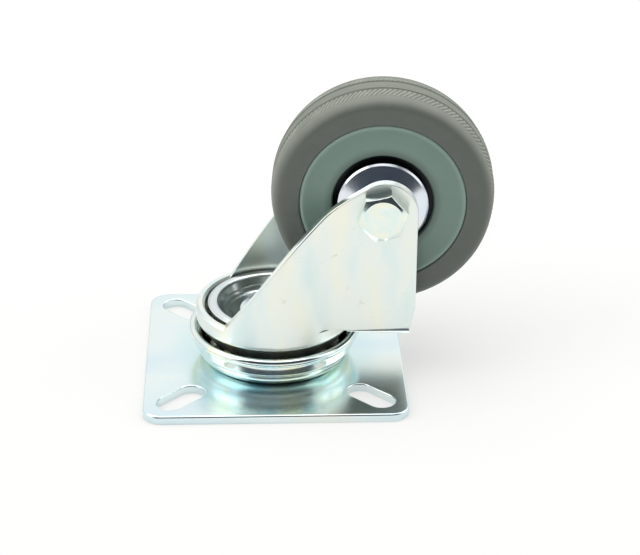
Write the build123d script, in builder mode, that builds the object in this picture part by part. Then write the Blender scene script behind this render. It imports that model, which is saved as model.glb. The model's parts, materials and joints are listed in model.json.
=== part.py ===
from build123d import *
from math import atan2, cos, degrees, radians, sin, sqrt, tan
import os

# Swivel castor, standing on its mounting plate with the wheel uppermost.
# +Z is the swivel axis, the plate's fixing face is z = 0, and the fork trails towards +X.

# ---- driving dimensions, millimetres and degrees ----
plate_side = 60.0
plate_sheet = 2.0
plate_corner = 4.4
slot_spacing = 43.0  # centre to centre, along X and along Y
slot_width = 6.2
slot_length = 12.6
emboss_radius = 7.5  # the plate's raised centre keeps the rivet above the fixing face
emboss_rise = 2.0

race_clearance = 0.05
main_ball = 2.5
main_ball_circle = 13.9
main_ball_height = 6.1
main_ball_count = 16
upper_ball = 1.6
upper_ball_circle = 14.05
upper_ball_height = 12.5
upper_ball_count = 24

cup_sheet = 1.5  # outer race cup
cup_bead = 1.0
cup_waist = 18.0  # a shallow step divides the wall into a lower and an upper band
cup_wall = 18.6
cup_rim_radius = 19.0
cup_rim_height = 9.1

fork_turn = -3.2  # the fork rests swivelled a little from the plate's edge
fork_sheet = 2.0
crown_radius = 18.2
crown_top = 15.4
crown_hole = 11.5
trail = 24.6  # swivel axis to axle
axle_height = 44.3
leg_face = 13.3  # middle plane of the fork to the outside of a leg
leg_foot = 14.65  # underside of the free part of a leg
leg_rear = 32.4
leg_top_centre = (25.2, 44.1)
leg_top_radius = 7.2
leg_bend = 7.0
leg_hole = 3.1
leg_rim = 0.35
lip_start = 17.0  # the free foot of each leg curls out a little towards the rear
lip_depth = 0.7
slit_height = 0.45  # tear relief where a leg's foot leaves the crown

rivet_shank = 4.0
rivet_collar = 6.5
rivet_head = 7.9
rivet_top = 14.6
rivet_foot_head = 6.0

wheel_radius = 25.1
wheel_width = 17.0
tread_drop = 0.5
groove_place = 2.1  # two fine grooves run round the tread
groove_depth = 0.3
core_radius = 18.65
core_groove = 17.2
core_rib = 20.0
hub_bore = 11.3
web_hole = 6.2
web_face = 4.8

bolt_radius = 3.0
bolt_flats = 10.0
bolt_head = 4.0
head_rim = 0.18
bolt_end = 23.0
washer_radius = 6.0
washer_sheet = 1.6
lock_washer_radius = 5.4
lock_washer_sheet = 1.5
nut_height = 5.0
sleeve_radius = 4.0

wheel_ball = 1.8
wheel_ball_circle = 7.5
wheel_ball_offset = 7.4
wheel_ball_count = 11
cone_rim = 10.1

# ---- planes and axes ----
fork_base = Plane.XY.rotated((0, 0, fork_turn))
fork_side = Plane(origin=(0, 0, 0), x_dir=fork_base.x_dir, z_dir=-fork_base.y_dir)
axle_centre = (trail * cos(radians(fork_turn)), trail * sin(radians(fork_turn)), axle_height)
# Section through the axle: local X is the radius, local Y runs along the axle to the near leg.
axle_section = Plane(origin=axle_centre, x_dir=(0, 0, 1), z_dir=fork_base.x_dir)
axle_axis = Axis(axle_centre, axle_section.y_dir)
leg_inside = leg_face - fork_sheet

os.makedirs("parts", exist_ok=True)

# ---- mounting plate: square sheet with four diagonal slots and a raised centre ----
emboss_top = plate_sheet + emboss_rise
with BuildPart() as top_plate:
    with BuildSketch() as plate_outline:
        RectangleRounded(plate_side, plate_side, plate_corner)
    extrude(amount=plate_sheet)
    fillet(top_plate.faces().sort_by(Axis.Z)[-1].edges(), radius=0.5)
    with BuildSketch(Plane.XZ) as emboss_section:
        with BuildLine():
            Polyline(
                (0, 1.0),
                (emboss_radius + emboss_rise, 1.0),
                (emboss_radius + emboss_rise, plate_sheet),
                (emboss_radius, emboss_top),
                (0, emboss_top),
                close=True,
            )
        make_face()
    revolve(axis=Axis.Z)
    with BuildSketch(Plane.XZ) as emboss_hollow:
        with BuildLine():
            Polyline(
                (0, 0),
                (emboss_radius + 0.8, 0),
                (emboss_radius - 0.8, emboss_rise),
                (0, emboss_rise),
                close=True,
            )
        make_face()
    revolve(axis=Axis.Z, mode=Mode.SUBTRACT)
    Hole(rivet_shank)
    with BuildSketch() as slots:
        for quarter in range(4):
            with PolarLocations(slot_spacing / sqrt(2), 1, start_angle=45 + 90 * quarter):
                SlotOverall(slot_length, slot_width)
    extrude(amount=plate_sheet, mode=Mode.SUBTRACT)
    slot_rims = [
        edge
        for edge in top_plate.edges()
        if abs(edge.center().Z - plate_sheet) < 0.01 and 13 < abs(edge.center().X) < plate_side / 2 - 2
        and 13 < abs(edge.center().Y) < plate_side / 2 - 2
    ]
    fillet(slot_rims, radius=0.35)
top_plate.part.label = "top_plate"
export_step(top_plate.part, "parts/top_plate.step")

# ---- outer race cup: drawn dish with a rolled rim, holding the main ball circle ----
race_top = emboss_top + cup_sheet
main_groove = main_ball + race_clearance
with BuildPart() as outer_race_cup:
    with BuildSketch(Plane.XZ) as cup_section:
        with BuildLine():
            Polyline((rivet_shank, emboss_top), (emboss_radius, emboss_top), (9.9, plate_sheet), (15.2, plate_sheet))
            cup_corner = ThreePointArc((15.2, plate_sheet), (17.1, 2.9), (cup_waist, 5.0))
            Polyline(
                cup_corner @ 1,
                (cup_waist, 5.6),
                (cup_wall, 7.0),
                (cup_wall, 8.4),
                (cup_rim_radius, cup_rim_height),
                (cup_rim_radius - 0.9, cup_rim_height),
                (17.0, 7.9),
                (main_ball_circle + main_groove, main_ball_height),
            )
            main_race = CenterArc((main_ball_circle, main_ball_height), main_groove, 0, -90)
            Polyline(
                main_race @ 1,
                (10.3, plate_sheet + cup_sheet),
                (8.3, race_top),
                (rivet_shank, race_top),
                (rivet_shank, emboss_top),
            )
        make_face()
        with Locations((cup_rim_radius, cup_rim_height)):
            Circle(cup_bead)
    revolve(axis=Axis.Z)
outer_race_cup.part.label = "outer_race_cup"
export_step(outer_race_cup.part, "parts/outer_race_cup.step")

# ---- fork legs: each follows the crown's wall, then bends to run flat beside the wheel ----
bend_x = sqrt((crown_radius + leg_bend) ** 2 - (leg_face + leg_bend) ** 2)
bend_y = -(leg_face + leg_bend)
bend_angle = degrees(atan2(bend_y, bend_x))
leg_start_angle = -140
leg_sweep = bend_angle - leg_start_angle
crown_inside = crown_radius - fork_sheet
knee = (7.96, 41.39)
top_angle = 123
leg_top_start = (
    leg_top_centre[0] + leg_top_radius * cos(radians(top_angle)),
    leg_top_centre[1] + leg_top_radius * sin(radians(top_angle)),
)


def on_outside(edge):
    """Whether an edge lies on the outer skin of a leg: wall, reverse bend or flat."""
    place = fork_base.to_local_coords(edge @ 0.5)
    beyond_wall = place.X < bend_x * crown_radius / (crown_radius + leg_bend)
    if beyond_wall:
        return place.X**2 + place.Y**2 > (crown_radius - 0.1) ** 2
    if place.X < bend_x:
        return (place.X - bend_x) ** 2 + (abs(place.Y) + bend_y) ** 2 < (leg_bend + 0.1) ** 2
    return abs(place.Y) > leg_face - 0.1


def upright(edge):
    """Whether an edge stands straight up and isn't the leg's rear edge, so that it only joins two stretches."""
    return abs((edge % 0.5).Z) > 0.999 and fork_base.to_local_coords(edge @ 0.5).X < leg_rear - 2


with BuildPart() as legs:
    with BuildSketch(fork_base) as leg_plan:
        with BuildLine():
            outer_wall = CenterArc((0, 0), crown_radius, leg_start_angle, leg_sweep)
            CenterArc((bend_x, bend_y), leg_bend, 180 + bend_angle, -90 - bend_angle)
            Polyline(
                (bend_x, -leg_face),
                (leg_rear + 1, -leg_face),
                (leg_rear + 1, -leg_inside),
                (bend_x, -leg_inside),
            )
            CenterArc((bend_x, bend_y), leg_bend + fork_sheet, 90, 90 + bend_angle)
            inner_wall = CenterArc((0, 0), crown_inside, bend_angle, -leg_sweep)
            Line(inner_wall @ 1, outer_wall @ 0)
        make_face()
        mirror(about=Plane.XZ)
    extrude(amount=axle_height + 2 * leg_top_radius)
    with BuildSketch(fork_side) as leg_outline:
        with BuildLine():
            Polyline((-12.6, 12.59), knee, leg_top_start)
            CenterArc(leg_top_centre, leg_top_radius, top_angle, -top_angle)
            Polyline(
                (leg_rear, leg_top_centre[1]),
                (leg_rear, 21.0),
                (leg_rear - 1.2, leg_foot),
                (9.0, leg_foot),
                (9.0, 12.59),
                (-12.6, 12.59),
            )
        make_face()
        fillet(leg_outline.vertices().sort_by_distance(knee)[0], radius=60)
    extrude(amount=2 * crown_radius, both=True, mode=Mode.INTERSECT)
    rims = [edge for edge in legs.edges() if on_outside(edge) and not upright(edge)]
    fillet(rims, radius=leg_rim)

# ---- fork: one folded sheet, the drawn crown between its two rows of balls and both legs ----
upper_groove = upper_ball + race_clearance
with BuildPart() as fork:
    with BuildSketch(Plane.XZ) as crown_section:
        with BuildLine():
            lower_race = CenterArc((main_ball_circle, main_ball_height), main_groove, 50, 40)
            Polyline(
                lower_race @ 1,
                (crown_hole, main_ball_height + main_groove),
                (crown_hole, upper_ball_height - upper_groove),
                (upper_ball_circle, upper_ball_height - upper_groove),
            )
            upper_race = CenterArc((upper_ball_circle, upper_ball_height), upper_groove, -90, 90)
            Polyline(
                upper_race @ 1,
                (crown_inside, 13.2),
                (crown_inside, crown_top - 0.5),
                (crown_inside + 0.5, crown_top),
                (crown_radius - 0.5, crown_top),
                (crown_radius, crown_top - 0.5),
                (crown_radius, 12.6),
            )
            crown_corner = ThreePointArc((crown_radius, 12.6), (17.9, 11.5), (17.2, 10.85))
            Line(crown_corner @ 1, lower_race @ 0)
        make_face()
    revolve(axis=Axis.Z)
    add(legs.part)
    for side in (1, -1):
        with BuildSketch(fork_side.offset(side * (leg_inside - 0.1))) as slit:
            with BuildLine():
                Polyline(
                    (10.6, leg_foot + 0.1),
                    (15.8, leg_foot - 0.2),
                    (15.8, leg_foot + slit_height),
                    (11.6, leg_foot + slit_height),
                    close=True,
                )
            make_face()
        extrude(amount=side * 6, mode=Mode.SUBTRACT)
        for place, depth in ((lip_start, 0.08), (leg_rear - 1.3, lip_depth)):
            lip_origin = fork_base.from_local_coords((place, 0, 0))
            with BuildSketch(Plane(origin=lip_origin, x_dir=fork_base.y_dir, z_dir=fork_base.x_dir)) as lip:
                with BuildLine():
                    Polyline(
                        (side * leg_face, leg_foot + 2 * depth),
                        (side * (leg_face - 0.5), leg_foot + 2 * depth),
                        (side * (leg_face - 0.5), leg_foot),
                        (side * (leg_face + depth), leg_foot),
                        (side * (leg_face + depth), leg_foot + depth / 3),
                    )
                    ThreePointArc(
                        (side * (leg_face + depth), leg_foot + depth / 3),
                        (side * (leg_face + 0.35 * depth), leg_foot + 0.85 * depth),
                        (side * leg_face, leg_foot + 2 * depth),
                    )
                make_face()
        loft()
    with BuildSketch(fork_side) as axle_hole:
        with Locations((trail, axle_height)):
            Circle(leg_hole)
    extrude(amount=2 * leg_face, both=True, mode=Mode.SUBTRACT)
fork.part.label = "fork"
export_step(fork.part, "parts/fork.step")

# ---- inner race cup: pressed ring over the upper balls, with the bowl that the rivet clamps ----
cup_seat = race_top + 3.5
bowl_floor = cup_seat + 1.2
with BuildPart() as inner_race_cup:
    with BuildSketch(Plane.XZ) as inner_cup_section:
        with BuildLine():
            Polyline(
                (rivet_shank, bowl_floor),
                (rivet_shank, cup_seat),
                (9.0, cup_seat),
                (upper_ball_circle - upper_groove, upper_ball_height),
            )
            ring_race = CenterArc((upper_ball_circle, upper_ball_height), upper_groove, 180, -127)
            Line(ring_race @ 1, (15.45, 14.5))
            Line((15.45, 14.5), (15.4, 15.3))
            crest = ThreePointArc((15.4, 15.3), (14.2, 15.9), (12.8, 15.2))
            Line(crest @ 1, (12.1, 13.9))
            bowl_bend = ThreePointArc((12.1, 13.9), (11.7, 13.0), (10.9, 12.4))
            Polyline(bowl_bend @ 1, (9.2, 11.0), (8.5, bowl_floor), (rivet_shank, bowl_floor))
        make_face()
    revolve(axis=Axis.Z)
inner_race_cup.part.label = "inner_race_cup"
export_step(inner_race_cup.part, "parts/inner_race_cup.step")

# ---- kingpin rivet: shouldered pin, upset over the raised plate below and the bowl above ----
with BuildPart() as kingpin_rivet:
    with BuildSketch(Plane.XZ) as rivet_section:
        with BuildLine():
            rivet_dome = ThreePointArc((0, rivet_top), (4.5, rivet_top - 0.35), (rivet_head, rivet_top - 1.1))
            Polyline(
                rivet_dome @ 1,
                (rivet_head, bowl_floor),
                (rivet_shank, bowl_floor),
                (rivet_shank, cup_seat),
                (rivet_collar, cup_seat),
                (rivet_collar, race_top),
                (rivet_shank, race_top),
                (rivet_shank, emboss_rise),
                (rivet_foot_head, emboss_rise),
                (rivet_foot_head, 0.9),
                (rivet_foot_head - 0.6, 0.3),
                (0, 0.3),
                (0, rivet_top),
            )
        make_face()
    revolve(axis=Axis.Z)
kingpin_rivet.part.label = "kingpin_rivet"
export_step(kingpin_rivet.part, "parts/kingpin_rivet.step")

# ---- swivel balls: a full ring below the crown and another above it ----
with BuildPart() as main_race_balls:
    with Locations((0, 0, main_ball_height)):
        with PolarLocations(main_ball_circle, main_ball_count):
            Sphere(main_ball)
main_race_balls.part.label = "main_race_balls"
export_step(main_race_balls.part, "parts/main_race_balls.step")

with BuildPart() as upper_race_balls:
    with Locations((0, 0, upper_ball_height)):
        with PolarLocations(upper_ball_circle, upper_ball_count):
            Sphere(upper_ball)
upper_race_balls.part.label = "upper_race_balls"
export_step(upper_race_balls.part, "parts/upper_race_balls.step")

# ---- tyre: solid rubber moulded over the ribbed rim of the core ----
half_width = wheel_width / 2
with BuildPart() as tyre:
    with BuildSketch(axle_section) as tyre_section:
        with BuildLine():
            Polyline(
                (wheel_radius, 0),
                (wheel_radius, groove_place - 0.3),
                (wheel_radius - groove_depth, groove_place),
                (wheel_radius, groove_place + 0.3),
            )
            ThreePointArc(
                (wheel_radius, groove_place + 0.3),
                (wheel_radius - tread_drop / 4, 4.0),
                (wheel_radius - tread_drop, half_width - 2.9),
            )
            ThreePointArc(
                (wheel_radius - tread_drop, half_width - 2.9),
                (wheel_radius - 1.25, half_width - 0.8),
                (wheel_radius - 3.3, half_width),
            )
            Polyline(
                (wheel_radius - 3.3, half_width),
                (core_radius + 0.3, half_width),
                (core_radius, half_width - 0.5),
                (core_radius, 7.2),
                (core_groove, 6.2),
                (core_groove, 3.6),
                (core_rib, 2.6),
                (core_rib, 0),
            )
            mirror(about=Plane.XZ)
        make_face()
    revolve(axis=axle_axis)
tyre.part.label = "tyre"
export_step(tyre.part, "parts/tyre.step")

# ---- wheel core: moulded disc, hollowed slightly on each face, bored for the bearing cups ----
with BuildPart() as wheel_core:
    with BuildSketch(axle_section) as core_section:
        with BuildLine():
            Polyline(
                (web_hole, 0),
                (web_hole, web_face),
                (hub_bore, web_face),
                (hub_bore, 7.8),
                (hub_bore + 0.3, 8.1),
            )
            ThreePointArc((hub_bore + 0.3, 8.1), (15.0, 7.85), (core_radius - 0.7, half_width - 0.05))
            ThreePointArc(
                (core_radius - 0.7, half_width - 0.05),
                (core_radius - 0.18, half_width - 0.25),
                (core_radius, half_width - 0.8),
            )
            Polyline(
                (core_radius, half_width - 0.8),
                (core_radius, 7.2),
                (core_groove, 6.2),
                (core_groove, 3.6),
                (core_rib, 2.6),
                (core_rib, 0),
            )
            mirror(about=Plane.XZ)
        make_face()
    revolve(axis=axle_axis)
wheel_core.part.label = "wheel_core"
export_step(wheel_core.part, "parts/wheel_core.step")

# ---- wheel bearings: on each side a cup in the core, a ring of balls and a cone on the sleeve ----
wheel_groove = wheel_ball + race_clearance
ball_plane = Plane(origin=axle_centre, x_dir=fork_base.x_dir, z_dir=axle_section.y_dir)
for side, side_name in ((1, "near"), (-1, "far")):
    with BuildPart() as bearing_cup:
        with BuildSketch(axle_section) as bearing_cup_section:
            with BuildLine():
                race = CenterArc(
                    (wheel_ball_circle, side * wheel_ball_offset), wheel_groove, side * -90, side * 71
                )
                Polyline(
                    race @ 1,
                    (hub_bore, side * 6.8),
                    (hub_bore, side * web_face),
                    (6.4, side * web_face),
                    (6.4, side * (wheel_ball_offset - wheel_groove)),
                    race @ 0,
                )
            make_face()
        revolve(axis=axle_axis)
    bearing_cup.part.label = "bearing_cup_" + side_name
    export_step(bearing_cup.part, "parts/bearing_cup_" + side_name + ".step")

    with BuildPart() as bearing_balls:
        with Locations(ball_plane.offset(side * wheel_ball_offset)):
            with PolarLocations(wheel_ball_circle, wheel_ball_count):
                Sphere(wheel_ball)
    bearing_balls.part.label = "bearing_balls_" + side_name
    export_step(bearing_balls.part, "parts/bearing_balls_" + side_name + ".step")

    with BuildPart() as bearing_cone:
        with BuildSketch(axle_section) as cone_section:
            with BuildLine():
                cone_race = CenterArc(
                    (wheel_ball_circle, side * wheel_ball_offset), wheel_groove, 180, side * -125
                )
                Polyline(
                    cone_race @ 1,
                    (9.6, side * 8.6),
                    (cone_rim, side * 8.6),
                    (cone_rim, side * 9.2),
                    (9.7, side * 9.6),
                    (6.4, side * leg_inside),
                    (sleeve_radius, side * leg_inside),
                    (sleeve_radius, side * 5.0),
                    (wheel_ball_circle - wheel_groove, side * 5.0),
                    cone_race @ 0,
                )
            make_face()
        revolve(axis=axle_axis)
    bearing_cone.part.label = "bearing_cone_" + side_name
    export_step(bearing_cone.part, "parts/bearing_cone_" + side_name + ".step")

# ---- axle sleeve: spacer tube that carries both cones and takes the bolt's clamping load ----
with BuildPart() as axle_sleeve:
    with BuildSketch(ball_plane) as sleeve_ring:
        Circle(sleeve_radius)
        Circle(bolt_radius + 0.05, mode=Mode.SUBTRACT)
    extrude(amount=leg_inside, both=True)
axle_sleeve.part.label = "axle_sleeve"
export_step(axle_sleeve.part, "parts/axle_sleeve.step")

# ---- axle bolt: hexagon head on the near leg, shank through both legs ----
chamfer_radius = 4.35
corner_radius = bolt_flats / 2 / cos(radians(30)) + 0.5
corner_drop = (corner_radius - chamfer_radius) * tan(radians(30))
hexagon_turn = 12.6
with BuildPart() as axle_bolt:
    with BuildSketch(ball_plane.offset(leg_face)) as bolt_hexagon:
        RegularPolygon(bolt_flats / 2, 6, major_radius=False, rotation=hexagon_turn)
    extrude(amount=bolt_head)
    with BuildSketch(axle_section) as head_form:
        with BuildLine():
            Polyline(
                (0, leg_face),
                (corner_radius, leg_face),
                (corner_radius, leg_face + bolt_head - corner_drop),
                (chamfer_radius, leg_face + bolt_head),
                (0, leg_face + bolt_head),
                close=True,
            )
        make_face()
    revolve(axis=axle_axis, mode=Mode.INTERSECT)
    above_seat = [edge for edge in axle_bolt.edges() if ball_plane.to_local_coords(edge @ 0.5).Z > leg_face + 0.1]
    fillet([edge for edge in above_seat if edge.length > 1], radius=head_rim)
    with BuildSketch(axle_section) as shank_form:
        with BuildLine():
            Polyline(
                (0, leg_face),
                (bolt_radius, leg_face),
                (bolt_radius, 0.6 - bolt_end),
                (bolt_radius - 0.6, -bolt_end),
                (0, -bolt_end),
                close=True,
            )
        make_face()
    revolve(axis=axle_axis)
axle_bolt.part.label = "axle_bolt"
export_step(axle_bolt.part, "parts/axle_bolt.step")

# ---- far-side fastening: plain washer, split lock washer and nut ----
washer_face = -leg_face
lock_face = washer_face - washer_sheet
nut_face = lock_face - lock_washer_sheet
with BuildPart() as axle_washer:
    with BuildSketch(ball_plane.offset(washer_face)) as washer_ring:
        Circle(washer_radius)
        Circle(bolt_radius + 0.2, mode=Mode.SUBTRACT)
    extrude(amount=-washer_sheet)
axle_washer.part.label = "axle_washer"
export_step(axle_washer.part, "parts/axle_washer.step")

with BuildPart() as axle_lock_washer:
    with BuildSketch(ball_plane.offset(lock_face)) as lock_ring:
        Circle(lock_washer_radius)
        Circle(bolt_radius + 0.2, mode=Mode.SUBTRACT)
        with Locations((0, lock_washer_radius)):
            Rectangle(0.9, 2 * lock_washer_radius - bolt_radius, rotation=20, mode=Mode.SUBTRACT)
    extrude(amount=-lock_washer_sheet)
axle_lock_washer.part.label = "axle_lock_washer"
export_step(axle_lock_washer.part, "parts/axle_lock_washer.step")

with BuildPart() as axle_nut:
    with BuildSketch(ball_plane.offset(nut_face)) as nut_hexagon:
        RegularPolygon(bolt_flats / 2, 6, major_radius=False, rotation=hexagon_turn)
    extrude(amount=-nut_height)
    with BuildSketch(axle_section) as nut_form:
        with BuildLine():
            Polyline(
                (bolt_radius, nut_face),
                (chamfer_radius, nut_face),
                (corner_radius, nut_face - corner_drop),
                (corner_radius, nut_face - nut_height + corner_drop),
                (chamfer_radius, nut_face - nut_height),
                (bolt_radius, nut_face - nut_height),
                close=True,
            )
        make_face()
    revolve(axis=axle_axis, mode=Mode.INTERSECT)
axle_nut.part.label = "axle_nut"
export_step(axle_nut.part, "parts/axle_nut.step")
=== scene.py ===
import json
from math import pi, radians

import bpy
import numpy as np
from mathutils import Matrix, Vector


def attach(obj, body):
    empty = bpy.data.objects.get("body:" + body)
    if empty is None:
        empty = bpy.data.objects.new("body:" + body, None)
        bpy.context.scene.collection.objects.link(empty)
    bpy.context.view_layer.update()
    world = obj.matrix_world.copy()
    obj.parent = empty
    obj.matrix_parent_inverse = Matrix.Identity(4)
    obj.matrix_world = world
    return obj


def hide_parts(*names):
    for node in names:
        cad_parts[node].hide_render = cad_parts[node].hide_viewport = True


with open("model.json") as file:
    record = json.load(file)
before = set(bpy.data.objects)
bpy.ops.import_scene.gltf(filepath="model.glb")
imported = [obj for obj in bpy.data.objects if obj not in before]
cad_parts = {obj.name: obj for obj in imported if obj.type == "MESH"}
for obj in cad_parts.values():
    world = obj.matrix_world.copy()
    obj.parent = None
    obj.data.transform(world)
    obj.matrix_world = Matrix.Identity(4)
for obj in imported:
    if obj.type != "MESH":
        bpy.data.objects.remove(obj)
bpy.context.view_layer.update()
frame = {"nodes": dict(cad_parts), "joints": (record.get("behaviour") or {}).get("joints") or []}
nodes = frame["nodes"]

# ---------------------------------------------------------------- camera
# A long lens, a little above the castor and looking down on it. It is turned by
# 2 degrees and rolled by half a degree from square with the plate.
camera_place = Vector((-0.006581, -0.409206, 0.227782))
camera_yaw = radians(2.411)
camera_pitch = radians(26.768)
camera_roll = radians(0.49)
camera_data = bpy.data.cameras.new("camera")
camera_data.lens = 111.31
camera_data.sensor_width = 36.0
camera_data.clip_start = 0.02
camera = bpy.data.objects.new("camera", camera_data)
camera.matrix_world = (
    Matrix.Translation(camera_place)
    @ Matrix.Rotation(-camera_yaw, 4, "Z")
    @ Matrix.Rotation(radians(90) - camera_pitch, 4, "X")
    @ Matrix.Rotation(camera_roll, 4, "Z")
)
bpy.context.collection.objects.link(camera)
bpy.context.scene.camera = camera
bpy.context.scene.view_settings.view_transform = "Standard"


# ---------------------------------------------------------------- paper floor
# A roll of white paper. What the eye and the bright metal see of it is lifted
# to white, and the object's soft shadow stays.
def shade(code):
    """Linear RGBA of an sRGB hex code: c/12.92 up to 0.04045, else ((c + 0.055)/1.055)^2.4."""
    srgb = [int(code[i : i + 2], 16) / 255 for i in (1, 3, 5)]
    return (*[c / 12.92 if c <= 0.04045 else ((c + 0.055) / 1.055) ** 2.4 for c in srgb], 1.0)


def add(tree, kind, settings=None, **inputs):
    """Adds a node with its properties; inputs are values or sockets, where _0 means input 0
    and Base_Color means the input Base Color."""
    made = tree.nodes.new(kind)
    for key, value in (settings or {}).items():
        setattr(made, key, value)
    for key, value in inputs.items():
        socket = made.inputs[int(key[1:]) if key[0] == "_" else key.replace("_", " ")]
        if isinstance(value, bpy.types.NodeSocket):
            tree.links.new(value, socket)
        else:
            socket.default_value = value
    return made


def new_material(name):
    """A new, empty node material; returns it and its node tree."""
    made = bpy.data.materials.new(name)
    made.use_nodes = True
    made.node_tree.nodes.clear()
    return made, made.node_tree


paper_lift = 0.37
paper, tree = new_material("floor_paper")
ray = add(tree, "ShaderNodeLightPath")
seen = add(
    tree,
    "ShaderNodeMath",
    {"operation": "MAXIMUM"},
    _0=ray.outputs["Is Camera Ray"],
    _1=ray.outputs["Is Glossy Ray"],
)
lift = add(tree, "ShaderNodeMath", {"operation": "MULTIPLY"}, _0=seen.outputs[0], _1=paper_lift)
matt = add(tree, "ShaderNodeBsdfDiffuse", Color=shade("#CACAC8"), Roughness=1.0)
glow = add(tree, "ShaderNodeEmission", Color=shade("#FFFFFF"), Strength=lift.outputs[0])
both = add(tree, "ShaderNodeAddShader", _0=matt.outputs[0], _1=glow.outputs[0])
add(tree, "ShaderNodeOutputMaterial", Surface=both.outputs[0])

floor_half = 3.0
floor_level = -0.00005
floor_signs = ((-1, -1), (1, -1), (1, 1), (-1, 1))
floor_corners = [(x * floor_half, y * floor_half, floor_level) for x, y in floor_signs]
floor_mesh = bpy.data.meshes.new("floor")
floor_mesh.from_pydata(floor_corners, [], [(0, 1, 2, 3)])
floor_mesh.materials.append(paper)
floor = bpy.data.objects.new("floor", floor_mesh)
bpy.context.collection.objects.link(floor)

# ---------------------------------------------------------------- light tent and lamps
# White cloth all round, open in front, so that bright metal which leans to the
# front mirrors the dark room. Three soft boxes light the cloth's inside.
room_azimuth = Vector((0.06, -1.0, 0.0)).normalized()
room_width = (0.48, 0.66)  # cosines of the azimuths at which the opening begins and is full
room_top = (0.78, 0.93)  # sines of the elevations at which it fades into the tent's roof
world = bpy.data.worlds.new("tent")
bpy.context.scene.world = world
world.use_nodes = True
tree = world.node_tree
tree.nodes.clear()
facing = add(tree, "ShaderNodeTexCoord")
ray = add(tree, "ShaderNodeLightPath")
looked = facing.outputs["Generated"]
level = add(tree, "ShaderNodeVectorMath", {"operation": "MULTIPLY"}, _0=looked, _1=(1.0, 1.0, 0.0))
compass = add(tree, "ShaderNodeVectorMath", {"operation": "NORMALIZE"}, _0=level.outputs[0])
towards_room = add(
    tree, "ShaderNodeVectorMath", {"operation": "DOT_PRODUCT"}, _0=compass.outputs[0], _1=room_azimuth
)
opening = add(
    tree,
    "ShaderNodeMapRange",
    {"interpolation_type": "SMOOTHSTEP"},
    Value=towards_room.outputs["Value"],
    From_Min=room_width[0],
    From_Max=room_width[1],
)
skirt_rise = (0.02, 0.36)  # sines of the elevations between which the grey skirt turns white
diffuse_share = 0.78  # how much of the tent's light reaches matt surfaces
height = add(tree, "ShaderNodeSeparateXYZ", Vector=looked)
under_roof = add(
    tree,
    "ShaderNodeMapRange",
    {"interpolation_type": "SMOOTHSTEP"},
    Value=height.outputs["Z"],
    From_Min=room_top[0],
    From_Max=room_top[1],
    To_Min=1.0,
    To_Max=0.0,
)
dark = add(
    tree,
    "ShaderNodeMath",
    {"operation": "MULTIPLY"},
    _0=opening.outputs[0],
    _1=under_roof.outputs[0],
)
mirrored = add(
    tree,
    "ShaderNodeMath",
    {"operation": "MULTIPLY"},
    _0=dark.outputs[0],
    _1=ray.outputs["Is Glossy Ray"],
)
skirt = add(
    tree,
    "ShaderNodeMapRange",
    {"interpolation_type": "SMOOTHSTEP"},
    Value=height.outputs["Z"],
    From_Min=skirt_rise[0],
    From_Max=skirt_rise[1],
    To_Min=0.0,
    To_Max=1.0,
)
unseen = add(
    tree,
    "ShaderNodeMath",
    {"operation": "MAXIMUM"},
    _0=skirt.outputs[0],
    _1=ray.outputs["Is Camera Ray"],
)
cloth = add(
    tree,
    "ShaderNodeMix",
    {"data_type": "RGBA"},
    _0=unseen.outputs[0],
    _6=shade("#C9CFD2"),
    _7=shade("#FFFFFF"),
)
tent = add(
    tree,
    "ShaderNodeMix",
    {"data_type": "RGBA"},
    _0=mirrored.outputs[0],
    _6=cloth.outputs[2],
    _7=shade("#353E49"),
)
soft = add(
    tree,
    "ShaderNodeMapRange",
    Value=ray.outputs["Is Diffuse Ray"],
    To_Min=1.0,
    To_Max=diffuse_share,
)
sky = add(tree, "ShaderNodeBackground", Color=tent.outputs[2], Strength=soft.outputs[0])
add(tree, "ShaderNodeOutputWorld", Surface=sky.outputs[0])

softboxes = (
    ("lamp_top", (0.0, 0.15, 1.1), (1.2, 1.2), 5.2),
    ("lamp_left", (-1.0, -0.25, 0.75), (0.9, 1.0), 3.2),
    ("lamp_right", (1.0, 0.1, 0.7), (0.9, 1.0), 2.6),
)
for name, place, size, watts in softboxes:
    light = bpy.data.lights.new(name, "AREA")
    light.shape = "RECTANGLE"
    light.size, light.size_y = size
    light.energy = watts
    lamp = bpy.data.objects.new(name, light)
    lamp.location = place
    lamp.rotation_euler = Vector(place).to_track_quat("Z", "Y").to_euler()
    bpy.context.collection.objects.link(lamp)


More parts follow.
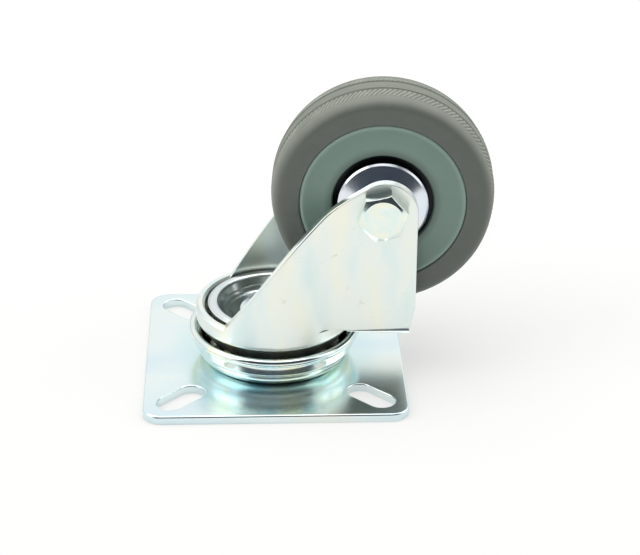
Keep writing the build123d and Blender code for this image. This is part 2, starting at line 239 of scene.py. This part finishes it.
# ---------------------------------------------------------------- mounting plate
# Blanked from 2 mm mild steel sheet and bright zinc plated. The passivate that
# seals the zinc gives the silver a blue cast. Next to the cup the plate is tinted
# a darker cyan, fading out between 19 and 27 mm from the swivel axis.
def zinc(name, cool, silver, straw, roughness, cloud_mm, stretch=(1.0, 1.0, 1.0), deep_tint_mm=None, wear_and_highlight=0.0):
    """Bright zinc plate. Its colour drifts from cool through silver to straw in clouds cloud_mm
    across, drawn out by stretch. Its gloss is broken by a fine grain and by sparse pinhead pits.
    With deep_tint_mm, the cool tint deepens between those two distances from the swivel axis. With
    rubbed, dull grey handling marks, streaky and 3 mm across, cover the lowest part of the noise."""
    made, tree = new_material(name)
    place = add(tree, "ShaderNodeTexCoord").outputs["Object"]
    drawn = add(tree, "ShaderNodeMapping", Vector=place, Scale=stretch)
    clouds = add(
        tree,
        "ShaderNodeTexNoise",
        Vector=drawn.outputs[0],
        Scale=1000 / cloud_mm,
        Detail=2.0,
        Roughness=0.5,
    )
    tints = add(tree, "ShaderNodeValToRGB", Fac=clouds.outputs["Fac"])
    ramp = tints.color_ramp
    ramp.elements[0].position, ramp.elements[0].color = 0.34, shade(cool)
    ramp.elements[1].position, ramp.elements[1].color = 0.68, shade(straw)
    ramp.elements.new(0.5).color = shade(silver)
    colour = tints.outputs["Color"]
    if deep_tint_mm:
        deep_tint_depth = 0.6
        level = add(tree, "ShaderNodeVectorMath", {"operation": "MULTIPLY"}, _0=place, _1=(1.0, 1.0, 0.0))
        reach = add(tree, "ShaderNodeVectorMath", {"operation": "LENGTH"}, _0=level.outputs[0])
        near = add(
            tree,
            "ShaderNodeMapRange",
            {"interpolation_type": "SMOOTHSTEP"},
            Value=reach.outputs["Value"],
            From_Min=deep_tint_mm[0] / 1000,
            From_Max=deep_tint_mm[1] / 1000,
            To_Min=deep_tint_depth,
            To_Max=0.0,
        )
        patchy = add(
            tree,
            "ShaderNodeMath",
            {"operation": "MULTIPLY"},
            _0=near.outputs[0],
            _1=clouds.outputs["Fac"],
        )
        deep_tinted = add(
            tree,
            "ShaderNodeMix",
            {"data_type": "RGBA"},
            _0=patchy.outputs[0],
            _6=colour,
            _7=shade("#B4E4E8"),
        )
        colour = deep_tinted.outputs[2]
    if wear_and_highlight:
        mark_mm = 3.0
        mark_full, mark_edge = 0.24, 0.37
        streaks = add(tree, "ShaderNodeMapping", Vector=place, Scale=(1.0, 1.0, 1.3))
        marks = add(
            tree,
            "ShaderNodeTexNoise",
            Vector=streaks.outputs[0],
            Scale=1000 / mark_mm,
            Detail=5.0,
            Roughness=0.65,
        )
        wear_and_painted_light = add(
            tree,
            "ShaderNodeMapRange",
            {"interpolation_type": "SMOOTHSTEP"},
            Value=marks.outputs["Fac"],
            From_Min=mark_full,
            From_Max=mark_edge,
            To_Min=wear_and_highlight,
            To_Max=0.0,
        )
        dulled = add(
            tree,
            "ShaderNodeMix",
            {"data_type": "RGBA"},
            _0=wear_and_painted_light.outputs[0],
            _6=colour,
            _7=shade("#A9B1AC"),
        )
        colour = dulled.outputs[2]
    grain_mm = 0.9
    pit_from, pit_to = 0.79, 0.84
    gloss_spread = (-0.01, 0.015)
    grain = add(
        tree, "ShaderNodeTexNoise", Vector=place, Scale=1000 / grain_mm, Detail=3.0, Roughness=0.55
    )
    pits = add(
        tree,
        "ShaderNodeMapRange",
        Value=grain.outputs["Fac"],
        From_Min=pit_from,
        From_Max=pit_to,
        To_Min=0.0,
        To_Max=1.0,
    )
    pitted = add(
        tree, "ShaderNodeMix", {"data_type": "RGBA"}, _0=pits.outputs[0], _6=colour, _7=shade("#8C9490")
    )
    gloss = add(
        tree,
        "ShaderNodeMapRange",
        Value=grain.outputs["Fac"],
        From_Min=0.3,
        From_Max=0.7,
        To_Min=roughness + gloss_spread[0],
        To_Max=roughness + gloss_spread[1],
    )
    ripple = add(tree, "ShaderNodeBump", Height=grain.outputs["Fac"], Strength=0.006, Distance=0.0002)
    metal = add(
        tree,
        "ShaderNodeBsdfPrincipled",
        Base_Color=pitted.outputs[2],
        Metallic=1.0,
        Roughness=gloss.outputs[0],
        Normal=ripple.outputs["Normal"],
    )
    add(tree, "ShaderNodeOutputMaterial", Surface=metal.outputs[0])
    return made


def dress(name, material):
    """Gives a carried-over part its finish."""
    part = nodes[name]
    part.data.materials.clear()
    part.data.materials.append(material)


sheet_zinc = zinc(
    "zinc_plated_sheet",
    "#DCEDF2",
    "#E7F3F3",
    "#EEF3EC",
    0.21,
    16.0,
    stretch=(0.35, 1.0, 1.0),
    deep_tint_mm=(19, 27),
)
dress("top_plate", sheet_zinc)

# ---------------------------------------------------------------- race cups
# Drawn from thinner sheet and plated in the same bath. The drawing polishes the
# wall, so it mirrors more sharply and shows the passivate's blue and straw.
drawn_zinc = zinc("zinc_plated_drawn_cup", "#CDEBEF", "#E6EFEC", "#EFF0D4", 0.16, 7.0)
bowl_zinc = zinc("zinc_plated_bowl", "#D2DFE0", "#DDE3E4", "#E2E5E0", 0.22, 9.0)
dress("inner_race_cup", bowl_zinc)


def arc(start, middle, end, count):
    """Points on the circle through three points: the centre is where the perpendicular
    bisectors meet, and the angle runs evenly from start through middle to end."""
    a, b, c = (np.array(p, float) for p in (start, middle, end))
    rows = np.array((b - a, c - a))
    centre = a + np.linalg.solve(rows, 0.5 * np.sum(rows * rows, axis=1))
    spokes = np.array((a, b, c)) - centre
    turns = np.unwrap(np.arctan2(spokes[:, 1], spokes[:, 0]))
    angles = np.linspace(turns[0], turns[2], count)
    return centre + np.hypot(*spokes[0]) * np.stack((np.cos(angles), np.sin(angles)), axis=1)


def run(start, end, count):
    """Evenly spaced points on a straight line, without its end."""
    return np.linspace(start, end, count, endpoint=False)


def ring_surface(name, points, u_along, v_along, crease=55):
    """A closed ring from a grid of points that wraps both ways: face i, j joins column i to
    i + 1 and row j to j + 1, and its UV is the distance round and the distance over the section."""
    columns, rows = points.shape[:2]
    i, j = (a.ravel() for a in np.meshgrid(np.arange(columns), np.arange(rows), indexing="ij"))
    right, up = (i + 1) % columns, (j + 1) % rows
    quads = np.stack((i * rows + j, right * rows + j, right * rows + up, i * rows + up), axis=1)
    mesh = bpy.data.meshes.new(name)
    mesh.vertices.add(columns * rows)
    mesh.vertices.foreach_set("co", points.reshape(-1).astype(np.float32))
    mesh.loops.add(quads.size)
    mesh.loops.foreach_set("vertex_index", quads.ravel().astype(np.int32))
    mesh.polygons.add(len(quads))
    mesh.polygons.foreach_set("loop_start", np.arange(0, quads.size, 4, dtype=np.int32))
    mesh.polygons.foreach_set("use_smooth", np.ones(len(quads), bool))
    uv = np.stack(
        (
            np.stack((u_along[i], u_along[i + 1], u_along[i + 1], u_along[i]), axis=1),
            np.stack((v_along[j], v_along[j], v_along[j + 1], v_along[j + 1]), axis=1),
        ),
        axis=2,
    )
    mesh.uv_layers.new(name="UVMap").data.foreach_set("uv", uv.ravel().astype(np.float32))
    mesh.update(calc_edges=True)
    mesh.validate()
    mesh.set_sharp_from_angle(angle=radians(crease))
    made = bpy.data.objects.new(name, mesh)
    bpy.context.collection.objects.link(made)
    return made


rim_centre = np.array((19.0, 9.1))
rim_round = 1.0
rim_from, rim_to = radians(-118), radians(186)
rim_turns = np.linspace(rim_from, rim_to, 26)
rolled_rim = rim_centre + rim_round * np.stack((np.cos(rim_turns), np.sin(rim_turns)), axis=1)
race_turns = np.linspace(0, -pi / 2, 16)
race_centre = np.array((13.9, 6.1))
race_radius = 2.55
main_race = race_centre + race_radius * np.stack((np.cos(race_turns), np.sin(race_turns)), axis=1)
cup_section = np.vstack(
    (
        run((4.0, 4.0), (7.5, 4.0), 2),
        run((7.5, 4.0), (9.9, 2.0), 2),
        run((9.9, 2.0), (15.2, 2.0), 3),
        arc((15.2, 2.0), (17.1, 2.9), (18.05, 5.0), 12),
        arc((18.1, 5.15), (18.4, 5.4), (18.65, 5.8), 4),
        run((18.65, 5.95), (18.65, 7.0), 4),
        arc((18.65, 7.1), (18.58, 7.7), (18.45, 8.15), 6),
        rolled_rim,
        run((17.9, 8.9), (17.0, 7.9), 2),
        run((17.0, 7.9), main_race[0], 2),
        main_race,
        run((13.8, 3.5), (10.3, 3.5), 2),
        run((10.3, 3.5), (8.3, 5.5), 2),
        run((8.3, 5.5), (4.0, 5.5), 2),
        run((4.0, 5.5), (4.0, 4.0), 2),
    )
) / 1000
cup_steps = 240


def cup_surface(outline, steps):
    """The outline turned about the swivel axis: at angle t, its point of radius r and height z
    comes to x = r cos t, y = r sin t, z."""
    turn = np.linspace(0, 2 * pi, steps, endpoint=False)[:, None]
    return np.stack(
        (
            outline[None, :, 0] * np.cos(turn),
            outline[None, :, 0] * np.sin(turn),
            np.broadcast_to(outline[None, :, 1], (steps, len(outline))),
        ),
        axis=2,
    )


def length_over(outline):
    """Running length over a closed outline's points, starting at 0 and ending at its whole length."""
    steps = np.diff(np.vstack((outline, outline[:1])), axis=0)
    return np.concatenate(([0.0], np.cumsum(np.hypot(steps[:, 0], steps[:, 1]))))


cup_round = np.linspace(0, 2 * pi * rim_centre[0] / 1000, cup_steps + 1)
cup_points = cup_surface(cup_section, cup_steps)
cup_piece = ring_surface("drawn_race_cup", cup_points, cup_round, length_over(cup_section), crease=40)
cup_piece.data.materials.append(drawn_zinc)
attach(cup_piece, "base")
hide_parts("outer_race_cup")

# ---------------------------------------------------------------- fork
# One blank, drawn into the crown and folded up into two legs, then zinc plated.
# Forming leaves the silver a little greener and duller, in upright bands.
folded_zinc = zinc(
    "zinc_plated_fork",
    "#DAEBEA",
    "#E9F0EC",
    "#F0F2E4",
    0.32,
    8.0,
    stretch=(1.0, 1.0, 0.35),
    wear_and_highlight=0.40,
)
dress("fork", folded_zinc)

# ---------------------------------------------------------------- kingpin rivet
# Cold-headed steel pin, zinc plated before it is upset over plate and bowl.
headed_zinc = zinc("zinc_plated_rivet", "#D6E6EA", "#E2E9EA", "#EAEAE0", 0.20, 5.0)
dress("kingpin_rivet", headed_zinc)

# ---------------------------------------------------------------- bearing balls
# Hardened and polished chrome steel, painted dark for a film of grease and for
# the shade inside the races.
greased_and_shaded_steel, tree = new_material("greased_and_shaded_chrome_steel")
place = add(tree, "ShaderNodeTexCoord").outputs["Object"]
smear_mm = 1.6
smears = add(tree, "ShaderNodeTexNoise", Vector=place, Scale=1000 / smear_mm, Detail=2.0)
# Dark tones: partly a grease film, partly painted shade inside the races.
grease_and_shade_film = add(
    tree,
    "ShaderNodeMix",
    {"data_type": "RGBA"},
    _0=smears.outputs["Fac"],
    _6=shade("#4A4A46"),
    _7=shade("#7D7A70"),
)
metal = add(tree, "ShaderNodeBsdfPrincipled", Base_Color=grease_and_shade_film.outputs[2], Metallic=1.0, Roughness=0.22)
add(tree, "ShaderNodeOutputMaterial", Surface=metal.outputs[0])
for name in ("main_race_balls", "upper_race_balls", "bearing_balls_near", "bearing_balls_far"):
    dress(name, greased_and_shaded_steel)

# ---------------------------------------------------------------- wheel core
# Injection-moulded polypropylene in grey-green, satin from a lightly blasted
# mould. It has a faint flow pattern, a darker ring round the bearing that is
# partly a grease stain and partly painted shade of the recess, and a painted
# highlight on the rim where its rounded edge catches the light.
spin = next(joint for joint in frame["joints"] if joint["name"] == "wheel_spin")
axle_centre = np.array(spin["pos_m"])
axle_line = np.array(spin["axis"]) / np.linalg.norm(spin["axis"])
near_side = axle_line if axle_line[1] < 0 else -axle_line
upright = np.array((0.0, 0.0, 1.0))
rearward = np.cross(near_side, -upright)

core_plastic, tree = new_material("moulded_polypropylene")
place = add(tree, "ShaderNodeTexCoord").outputs["Object"]
flow_mm = 6.0
flow = add(tree, "ShaderNodeTexNoise", Vector=place, Scale=1000 / flow_mm, Detail=2.0, Distortion=0.6)
tone = add(
    tree,
    "ShaderNodeMix",
    {"data_type": "RGBA"},
    _0=flow.outputs["Fac"],
    _6=shade("#768D83"),
    _7=shade("#7E958B"),
)
grease_and_shade_mm = (11.2, 13.6)
highlight_rim_mm = (17.2, 18.4)
hub_point = add(
    tree, "ShaderNodeVectorMath", {"operation": "SUBTRACT"}, _0=place, _1=tuple(axle_centre)
)
across_axle = add(
    tree,
    "ShaderNodeVectorMath",
    {"operation": "CROSS_PRODUCT"},
    _0=hub_point.outputs[0],
    _1=tuple(axle_line),
)
hub_distance = add(tree, "ShaderNodeVectorMath", {"operation": "LENGTH"}, _0=across_axle.outputs[0])
# Partly a grease stain and partly painted shade: darker towards the bearing recess.
grease_and_shade = add(
    tree,
    "ShaderNodeMapRange",
    {"interpolation_type": "SMOOTHSTEP"},
    Value=hub_distance.outputs["Value"],
    From_Min=grease_and_shade_mm[0] / 1000,
    From_Max=grease_and_shade_mm[1] / 1000,
    To_Min=0.6,
    To_Max=0.0,
)
stained_and_shaded = add(
    tree,
    "ShaderNodeMix",
    {"data_type": "RGBA"},
    _0=grease_and_shade.outputs[0],
    _6=tone.outputs[2],
    _7=shade("#3C4A45"),
)
# Painted highlight: the rim is lightened where its rounded edge catches the light.
wear_and_highlight = add(
    tree,
    "ShaderNodeMapRange",
    {"interpolation_type": "SMOOTHSTEP"},
    Value=hub_distance.outputs["Value"],
    From_Min=highlight_rim_mm[0] / 1000,
    From_Max=highlight_rim_mm[1] / 1000,
    To_Min=0.0,
    To_Max=0.7,
)
rim_highlighted = add(
    tree,
    "ShaderNodeMix",
    {"data_type": "RGBA"},
    _0=wear_and_highlight.outputs[0],
    _6=stained_and_shaded.outputs[2],
    _7=shade("#93AAA0"),
)
blast_mm = 0.25
blasted = add(tree, "ShaderNodeTexNoise", Vector=place, Scale=1000 / blast_mm, Detail=1.0)
skin = add(tree, "ShaderNodeBump", Height=blasted.outputs["Fac"], Strength=0.06, Distance=0.0001)
plastic = add(
    tree,
    "ShaderNodeBsdfPrincipled",
    Base_Color=rim_highlighted.outputs[2],
    Roughness=0.42,
    IOR=1.49,
    Normal=skin.outputs["Normal"],
)
add(tree, "ShaderNodeOutputMaterial", Surface=plastic.outputs[0])
dress("wheel_core", core_plastic)

# ---------------------------------------------------------------- tyre
# Thermoplastic rubber moulded over the core's ribbed rim. Two fine grooves run
# round the tread, with a band of slanting knurl cuts beside each. The tread is
# drier than the sides, and it is painted paler for the top light it catches. The
# cuts and grooves are darkened with painted shade, the crests lightened with a
# painted highlight.
tread_radius = 25.1
half_width = 8.5
lip_radius = 18.65
groove_place = 2.1
groove_reach = 0.42
groove_depth = 0.45
knurl_cuts = 143
knurl_depth = 0.30
knurl_slant = 0.75
knurl_from = 2.55
knurl_to = 5.5
knurl_rise = 0.3
knurl_fall = 0.8
knurl_power = 1.5
tread_drop = 0.7
steps_a_cut = 8
tread_edge = (5.6, tread_radius - 0.5)
flank_end = (half_width, lip_radius + 0.35)
half_section = np.vstack(
    (
        run((0.0, tread_radius), (groove_place - groove_reach, tread_radius), 2),
        arc(
            (groove_place - groove_reach, tread_radius),
            (groove_place, tread_radius - groove_depth),
            (groove_place + groove_reach, tread_radius),
            5,
        )[:-1],
        arc(
            (groove_place + groove_reach, tread_radius),
            (4.0, tread_radius - 0.125),
            tread_edge,
            12,
        )[:-1],
        arc(tread_edge, (7.7, tread_radius - 1.25), (half_width, tread_radius - 3.3), 9)[:-1],
        run((half_width, tread_radius - 3.3), flank_end, 3),
        arc(flank_end, (8.4, lip_radius + 0.1), (8.1, lip_radius), 4)[:-1],
        run((8.1, lip_radius), (7.2, lip_radius), 1),
        run((7.2, lip_radius), (6.2, 17.2), 1),
        run((6.2, 17.2), (3.6, 17.2), 1),
        run((3.6, 17.2), (2.6, 20.0), 1),
        run((2.6, 20.0), (0.0, 20.0), 1),
    )
)
mirrored_half = (half_section * (-1, 1))[:0:-1]
inside_middle = np.array([(0.0, 20.0)])
section = np.vstack((half_section, inside_middle, mirrored_half)) / 1000
along = length_over(section)

round_steps = knurl_cuts * steps_a_cut
across = np.abs(section[None, :, 0]) * 1000
on_tread = section[None, :, 1] > (tread_radius - tread_drop) / 1000
window_in = np.clip((across - knurl_from) / knurl_rise, 0, 1)
window_out = np.clip((knurl_to - across) / knurl_fall, 0, 1)
window = window_in * window_out * on_tread


def tyre_surface(outline, steps):
    """The outline turned about the axle, less the knurl. At angle t and distance x from the middle
    plane, a cut is (0.5 - 0.5 cos(n (t + s x / R))) to the power p, for n cuts of slant s on a tread
    of radius R. The radius loses the depth times the window times the cut. Returns points and cuts."""
    theta = np.linspace(0, 2 * pi, steps, endpoint=False)[:, None]
    cut_phase = knurl_cuts * (theta + knurl_slant * outline[None, :, 0] * 1000 / tread_radius)
    cuts = (0.5 - 0.5 * np.cos(cut_phase)) ** knurl_power
    radius = outline[None, :, 1] - knurl_depth / 1000 * window * cuts
    offset = np.broadcast_to(outline[None, :, 0], radius.shape)
    points = (
        axle_centre
        + offset[..., None] * near_side
        + (radius * np.cos(theta))[..., None] * upright
        + (radius * np.sin(theta))[..., None] * rearward
    )
    return points, cuts


tyre_points, cuts = tyre_surface(section, round_steps)
around = np.linspace(0, 2 * pi * tread_radius / 1000, round_steps + 1)
tyre_piece = ring_surface("knurled_tyre", tyre_points, around, along)
in_groove = np.clip(1 - np.abs(across - groove_place) / groove_reach, 0, 1) * on_tread
hollow = np.maximum(window * cuts, np.broadcast_to(in_groove, cuts.shape))
tyre_piece.data.attributes.new("hollow", "FLOAT", "POINT").data.foreach_set(
    "value", hollow.ravel().astype(np.float32)
)
tyre_piece.data.attributes.new("crest", "FLOAT", "POINT").data.foreach_set(
    "value", (window * (1 - cuts)).ravel().astype(np.float32)
)

rubber, tree = new_material("thermoplastic_rubber")
laid = add(tree, "ShaderNodeTexCoord").outputs["UV"]
over = add(tree, "ShaderNodeSeparateXYZ", Vector=laid)
tread_end, side_start = 0.0066, 0.0098
section_length = along[-1]
folded = add(
    tree,
    "ShaderNodeMath",
    {"operation": "PINGPONG"},
    _0=over.outputs["Y"],
    _1=section_length / 2,
)
# The tread-to-side mask carries the tread's painted lightening and its roughness.
wear_and_painted_light = add(
    tree,
    "ShaderNodeMapRange",
    {"interpolation_type": "SMOOTHSTEP"},
    Value=folded.outputs[0],
    From_Min=tread_end,
    From_Max=side_start,
)
grain_mm = 0.5
grain = add(tree, "ShaderNodeTexNoise", Vector=laid, Scale=1000 / grain_mm, Detail=2.0)
bloom_mm = 5.0
bloom = add(tree, "ShaderNodeTexNoise", Vector=laid, Scale=1000 / bloom_mm, Detail=2.0)
side_tone = add(
    tree,
    "ShaderNodeMix",
    {"data_type": "RGBA"},
    _0=bloom.outputs["Fac"],
    _6=shade("#5B605A"),
    _7=shade("#636861"),
)
# Painted light: the tread is paler than the sides for the top light it catches.
tread_tone_painted_light = add(
    tree,
    "ShaderNodeMix",
    {"data_type": "RGBA"},
    _0=bloom.outputs["Fac"],
    _6=shade("#757A71"),
    _7=shade("#858A80"),
)
tone = add(
    tree,
    "ShaderNodeMix",
    {"data_type": "RGBA"},
    _0=wear_and_painted_light.outputs[0],
    _6=tread_tone_painted_light.outputs[2],
    _7=side_tone.outputs[2],
)
# Painted shade: the knurl cuts and the grooves are darkened.
hollows = add(tree, "ShaderNodeAttribute", {"attribute_name": "hollow"})
hollows_painted_shade = add(
    tree,
    "ShaderNodeMix",
    {"data_type": "RGBA"},
    _0=hollows.outputs["Fac"],
    _6=tone.outputs[2],
    _7=shade("#5A5F58"),
)
# Painted highlight: the knurl crests are lightened in patches.
crests = add(tree, "ShaderNodeAttribute", {"attribute_name": "crest"})
paler = add(
    tree,
    "ShaderNodeMath",
    {"operation": "MULTIPLY"},
    _0=crests.outputs["Fac"],
    _1=bloom.outputs["Fac"],
)
crests_painted_highlight = add(
    tree,
    "ShaderNodeMix",
    {"data_type": "RGBA"},
    _0=paler.outputs[0],
    _6=hollows_painted_shade.outputs[2],
    _7=shade("#B4B8AE"),
)
tread_roughness, side_roughness, lip_roughness = 0.62, 0.42, 0.12
dryness = add(
    tree,
    "ShaderNodeMapRange",
    Value=wear_and_painted_light.outputs[0],
    To_Min=tread_roughness,
    To_Max=side_roughness,
)
flank_end_row = np.argmin(np.abs(half_section - flank_end).sum(axis=1))
polish_lead = 0.98  # the mould's polish begins a little before the lip's rounding
lip_start = polish_lead * along[flank_end_row]
polished = add(tree, "ShaderNodeMath", {"operation": "GREATER_THAN"}, _0=folded.outputs[0], _1=lip_start)
wiped = add(
    tree,
    "ShaderNodeMix",
    {"data_type": "FLOAT"},
    _0=polished.outputs[0],
    _2=dryness.outputs[0],
    _3=lip_roughness,
)
skin = add(tree, "ShaderNodeBump", Height=grain.outputs["Fac"], Strength=0.08, Distance=0.0001)
grey = add(
    tree,
    "ShaderNodeBsdfPrincipled",
    Base_Color=crests_painted_highlight.outputs[2],
    Roughness=wiped.outputs[0],
    IOR=1.50,
    Normal=skin.outputs["Normal"],
)
add(tree, "ShaderNodeOutputMaterial", Surface=grey.outputs[0])
tyre_piece.data.materials.append(rubber)
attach(tyre_piece, "wheel")
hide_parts("tyre")

# ---------------------------------------------------------------- wheel bearings and sleeve
# Pressed cups seated deep in the core, painted near-black for their grease and
# for the shade of the deep recess, and hardened cones outside them, turned and
# zinc plated to a blue mirror. The sleeve is cut tube.
greased_and_shaded_cup_steel, tree = new_material("greased_and_shaded_pressed_steel")
# Near-black: partly grease, partly painted shade of the deep recess.
metal = add(tree, "ShaderNodeBsdfPrincipled", Base_Color=shade("#26282A"), Metallic=1.0, Roughness=0.38)
add(tree, "ShaderNodeOutputMaterial", Surface=metal.outputs[0])
for name in ("bearing_cup_near", "bearing_cup_far"):
    dress(name, greased_and_shaded_cup_steel)
turned_zinc = zinc("zinc_plated_turned_cone", "#D6DFEC", "#DFE5ED", "#E6E8EC", 0.20, 6.0)
for name in ("bearing_cone_near", "bearing_cone_far", "axle_sleeve"):
    dress(name, turned_zinc)

# ---------------------------------------------------------------- axle bolt, nut and washers
# Cold-forged and zinc plated. The forged faces are duller than turned ones, and
# the yellow-green of the passivate shows on them.
forged_zinc = zinc("zinc_plated_forging", "#DDEDE8", "#E6EFE8", "#EDEFDC", 0.16, 2.6)
for name in ("axle_bolt", "axle_nut"):
    dress(name, forged_zinc)
stamped_zinc = zinc("zinc_plated_washer", "#D8E4EA", "#E2E8EA", "#E8E8E0", 0.20, 4.0)
for name in ("axle_washer", "axle_lock_washer"):
    dress(name, stamped_zinc)
